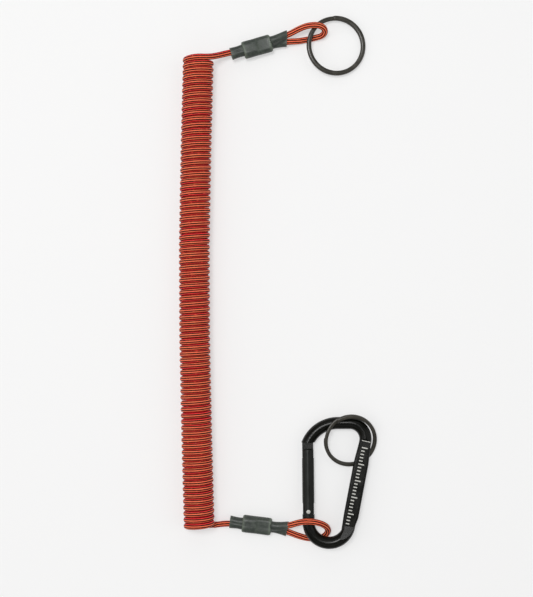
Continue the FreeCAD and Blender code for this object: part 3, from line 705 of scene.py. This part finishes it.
# In degrees round the ring: the step across, the gap beside a cut end, and the way between sections.
STEP_ANGLE = 44.0
CUT_GAP = 3.0
WIRE_STEP = 3.0
# How square the wire's section is across and up, and how much it narrows at its cut ends.
SQUARE_ACROSS = 0.9
SQUARE_UP = 0.85
CUT_END = 0.86


def wire_section(width, layer):
    """The wire's section, an oval with nearly flat faces."""
    points = []
    for k in range(WIRE_POINTS):
        angle = 2 * math.pi * k / WIRE_POINTS
        c, s = math.cos(angle), math.sin(angle)
        across = math.copysign(abs(c) ** SQUARE_ACROSS, c) * width / 2
        up = math.copysign(abs(s) ** SQUARE_UP, s) * layer / 2
        points.append((across, up))
    return points


def mount_record(name):
    return next(m for m in frame["record"]["mounts"] if m["name"] == name)


def split_ring(name, node, mount, outer, width, layer, step_at):
    """The wire followed twice round in the ring's own plane, which the ring's eye gives."""
    eye = mount_record(mount)
    tilt = Vector((0, 0, 1)).rotation_difference(Vector(eye["axis"])).to_matrix().to_4x4()
    place = Matrix.Translation(eye["pos_m"]) @ tilt
    middle = (outer - width) / 2
    rise = (layer + LAYER_GAP) / 2
    flat = 360 - STEP_ANGLE - CUT_GAP
    whole = 2 * flat + STEP_ANGLE
    count = round(whole / WIRE_STEP)
    section = wire_section(width, layer)
    rings = []
    for i in range(count + 1):
        run = whole * i / count
        share = min(max((run - flat) / STEP_ANGLE, 0.0), 1.0)
        angle = math.radians(step_at + STEP_ANGLE / 2 + CUT_GAP + run)
        z = -rise * math.cos(math.pi * share)
        end = CUT_END if i in (0, count) else 1.0
        wire = []
        for across, up in section:
            reach = middle + across * end
            wire.append(place @ Vector((reach * math.cos(angle), reach * math.sin(angle), z + up * end)))
        rings.append(wire)
    ring = loft(name, rings, order=ROUND_BACK)
    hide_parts(node)
    return ring


SCRATCH_SLANT = (0.3, 0.2, 0.8)
SCRATCH_STRETCH = (0.05, 1.0, 1.0)


def dark_finish():
    """A dark finish on metal: cloudy, a little paler and rougher in patches, with short fine scratches."""
    tree, given, result = new_group(
        "dark finish",
        {"Finish": "Color", "Rubbed": "Color", "Rub Share": "Float", "Rough": "Float"},
        {"Color": "Color", "Roughness": "Float", "Height": "Float"})
    place = add_node(tree, "TexCoord").outputs["Object"]
    clouds = ramp(tree, noise(tree, place, 240.0, 4.0), 0.35, 0.75)
    lengthwise = {"Vector": place, "Rotation": SCRATCH_SLANT, "Scale": SCRATCH_STRETCH}
    slant = add_node(tree, "Mapping", lengthwise).outputs[0]
    scratches = ramp(tree, noise(tree, slant, 3200.0, 1.0), 0.72, 0.80)
    rubbed = product(tree, maths(tree, "MAXIMUM", clouds, scratches), given["Rub Share"])
    tree.links.new(blend_colors(tree, rubbed, given["Finish"], given["Rubbed"]), result["Color"])
    tree.links.new(maths(tree, "MULTIPLY_ADD", clouds, 0.10, given["Rough"]), result["Roughness"])
    tree.links.new(maths(tree, "ADD", noise(tree, place, 6000.0, 2.0), scratches), result["Height"])
    return tree


finish = dark_finish()


def finished_material(name, color, rubbed, rub_share, rough, specular, grain, metallic=0.0):
    material = new_material(name, Metallic=metallic, Specular_IOR_Level=specular)
    look = place_group(material, finish, Finish=color, Rubbed=rubbed, Rub_Share=rub_share, Rough=rough)
    dress(material, look, Base_Color="Color", Roughness="Roughness", Height=("Height", grain, 0.00003))
    return material


BLACKENED = (0.020, 0.018, 0.012, 1)
RUBBED_BLACK = (0.055, 0.050, 0.038, 1)
ring_material = finished_material("blackened spring steel", BLACKENED, RUBBED_BLACK, rub_share=0.5,
                                  rough=0.30, specular=0.5, grain=0.2)
# Each ring's outside diameter, its wire's width and thickness, and where its wire steps across, in degrees.
for name, node, mount, outer, width, layer, step_at, body in (
        ("tool_ring", "tool_split_ring", "tool_ring_eye", 0.0357, 0.0027, 0.0015, 121.0, "tool_ring"),
        ("belt_ring", "belt_split_ring", "belt_ring_eye", 0.0322, 0.0022, 0.0013, 149.0, "belt_ring")):
    ring = split_ring(name + "_wire", node, mount, outer, width, layer, step_at)
    ring.data.materials.append(ring_material)
    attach(ring, body)


# ---------------------------------------------------------------- snap hook
# An aluminium rod bent to shape, its spine pressed flat, anodised satin black. Plain ruler ticks are
# marked along the flat by laser.

# The marks' sizes are in mm, measured down the flat and across it.
PALE_LINE_ABOVE = 4.1
PALE_LINE_HALF_WIDTH = 0.25
PALE_LINE_HALF_LENGTH = 2.6
TICK_STEP = 2.0
TICK_HALF_SHARE = 0.17
LONG_TICK_EACH = 5.0
SHORT_TICK = 2.1
LONG_TICK = 3.5
TICK_FOOT = -1.75
# Only what lies above this height on the flat is marked.
MARKED_ABOVE = -0.3


def within(tree, value, limit):
    return maths(tree, "LESS_THAN", maths(tree, "ABSOLUTE", value), limit)


def ruler_ticks(start, along, across, up):
    """Ruler ticks on a flat, two millimetres apart, each fifth one long, and a pale line across the flat
    above them.
    """
    tree, given, result = new_group(
        "ruler ticks",
        {"Mark": "Color", "Ground": "Color", "First": "Float", "Last": "Float"},
        {"Color": "Color"})
    place = add_node(tree, "TexCoord").outputs["Object"]
    offset = add_node(tree, "VectorMath", {0: place, 1: tuple(start)}, operation="SUBTRACT").outputs[0]

    def distance(direction):
        dot = add_node(tree, "VectorMath", {0: offset, 1: tuple(direction * 1000)}, operation="DOT_PRODUCT")
        return dot.outputs["Value"]

    down, side, height = distance(along), distance(across), distance(up)
    on_top = maths(tree, "GREATER_THAN", height, MARKED_ABOVE)
    count = maths(tree, "DIVIDE", down, TICK_STEP)
    whole = maths(tree, "ROUND", count)
    since_long = maths(tree, "MODULO", maths(tree, "ADD", whole, 0.01), LONG_TICK_EACH)
    reach = maths(tree, "MULTIPLY_ADD", within(tree, since_long, 0.5), LONG_TICK - SHORT_TICK, SHORT_TICK)
    ticks = within(tree, maths(tree, "SUBTRACT", count, whole), TICK_HALF_SHARE)
    for limit in (maths(tree, "GREATER_THAN", side, TICK_FOOT),
                  maths(tree, "LESS_THAN", side, maths(tree, "ADD", reach, TICK_FOOT)),
                  maths(tree, "GREATER_THAN", down, given["First"]),
                  maths(tree, "LESS_THAN", down, given["Last"]),
                  on_top):
        ticks = product(tree, ticks, limit)
    # A pale line across the flat above the ticks, in the same grey as the ticks.
    pale_line = within(tree, maths(tree, "ADD", down, PALE_LINE_ABOVE), PALE_LINE_HALF_WIDTH)
    pale_line = product(tree, pale_line, within(tree, side, PALE_LINE_HALF_LENGTH))
    pale_line = product(tree, pale_line, on_top)
    marked = maths(tree, "MAXIMUM", ticks, pale_line)
    tree.links.new(blend_colors(tree, marked, given["Ground"], given["Mark"]), result["Color"])
    return tree


# The way down the flat towards the hook's foot, and how far above the flat's eye the ticks begin.
SPINE_DOWN = Vector((-0.2096, -0.9778, 0.0))
TICKS_ABOVE_EYE = 0.018
flat_eye = mount_record("spine_flat")
spine_up = Vector(flat_eye["axis"])
spine_along = (SPINE_DOWN - spine_up * SPINE_DOWN.dot(spine_up)).normalized()
ticks_start = Vector(flat_eye["pos_m"]) - spine_along * TICKS_ABOVE_EYE
ticks = ruler_ticks(ticks_start, spine_along, spine_up.cross(spine_along), spine_up)

ANODISED_BLACK = (0.0020, 0.0022, 0.0014, 1)
RUBBED_ANODISED = (0.007, 0.007, 0.0045, 1)
PALE_MARK_GREY = (0.52, 0.52, 0.48, 1)
hook_material = finished_material("satin black anodised rod", ANODISED_BLACK, RUBBED_ANODISED, rub_share=0.5,
                                  rough=0.22, specular=0.18, grain=0.12)
tree = hook_material.node_tree
shader = tree.nodes["Principled BSDF"]
ground = shader.inputs["Base Color"].links[0].from_socket
marked = place_group(hook_material, ticks, Mark=PALE_MARK_GREY, First=-0.5, Last=46.5)
tree.links.new(ground, marked["Color"].node.inputs["Ground"])
tree.links.new(marked["Color"], shader.inputs["Base Color"])
refinish("carabiner_frame", hook_material)


# ---------------------------------------------------------------- gate
# A round aluminium gate, anodised like the hook, forked at both ends. It turns on a steel rivet and
# closes with a steel cross pin, pushed by a brass plunger and a steel spring inside it.
GATE_BLACK = (0.0035, 0.0042, 0.0028, 1)
RUBBED_GATE = (0.011, 0.013, 0.010, 1)
gate_material = finished_material("satin black anodised gate", GATE_BLACK, RUBBED_GATE, rub_share=0.5,
                                  rough=0.30, specular=0.22, grain=0.12)
refinish("carabiner_gate", gate_material)

RIVET_GREY = (0.50, 0.50, 0.47, 1)
HANDLED_RIVET = (0.36, 0.36, 0.33, 1)
rivet_steel = finished_material("peened steel rivet", RIVET_GREY, HANDLED_RIVET, rub_share=0.6,
                                rough=0.5, specular=0.5, grain=0.3, metallic=0.25)
pin_steel = metal_material("ground steel pin", (0.50, 0.49, 0.47, 1), (0.30, 0.29, 0.28, 1), 4200.0)
spring_steel = metal_material("spring wire", (0.58, 0.57, 0.55, 1), (0.40, 0.39, 0.37, 1), 6000.0)
plunger_brass = metal_material("turned brass", (0.78, 0.60, 0.30, 1), (0.50, 0.36, 0.17, 1), 3000.0)
for node, material in (("gate_hinge_rivet", rivet_steel),
                       ("gate_latch_pin", pin_steel),
                       ("gate_plunger", plunger_brass)):
    refinish(node, material)

# The spring's sizes in mm. Its foot and head are measured along the gate's own axis from the rivet.
SPRING_FOOT = 9.27
SPRING_HEAD = 18.83
SPRING_RADIUS = 1.15
SPRING_WIRE = 0.2
SPRING_TURNS = 9
SPRING_STEPS = 16
WIRE_SIDES = 8


def joint_record(name):
    return next(j for j in frame["record"]["behaviour"]["joints"] if j["name"] == name)


def gate_coil(pivot, axis):
    """The spring's wire, a helix with plain ends, round the gate's axis."""
    side = axis.orthogonal().normalized()
    back = axis.cross(side)
    count = SPRING_TURNS * SPRING_STEPS
    rings = []
    for i in range(count + 1):
        angle = 2 * math.pi * i / SPRING_STEPS
        outward = side * math.cos(angle) + back * math.sin(angle)
        rise = SPRING_FOOT + (SPRING_HEAD - SPRING_FOOT) * i / count
        middle = axis * rise + outward * SPRING_RADIUS
        wire = []
        for k in range(WIRE_SIDES):
            turn = 2 * math.pi * k / WIRE_SIDES
            skin = (outward * math.cos(turn) + axis * math.sin(turn)) * SPRING_WIRE
            wire.append(pivot + (middle + skin) / 1000)
        rings.append(wire)
    return loft("gate_coil_spring", rings)


gate_pivot = Vector(joint_record("gate_swing")["pos_m"])
gate_axis = Vector(joint_record("plunger_slide")["axis"])
spring = gate_coil(gate_pivot, gate_axis)
spring.data.materials.append(spring_steel)
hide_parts("gate_spring")
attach(spring, "gate")
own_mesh(spring)
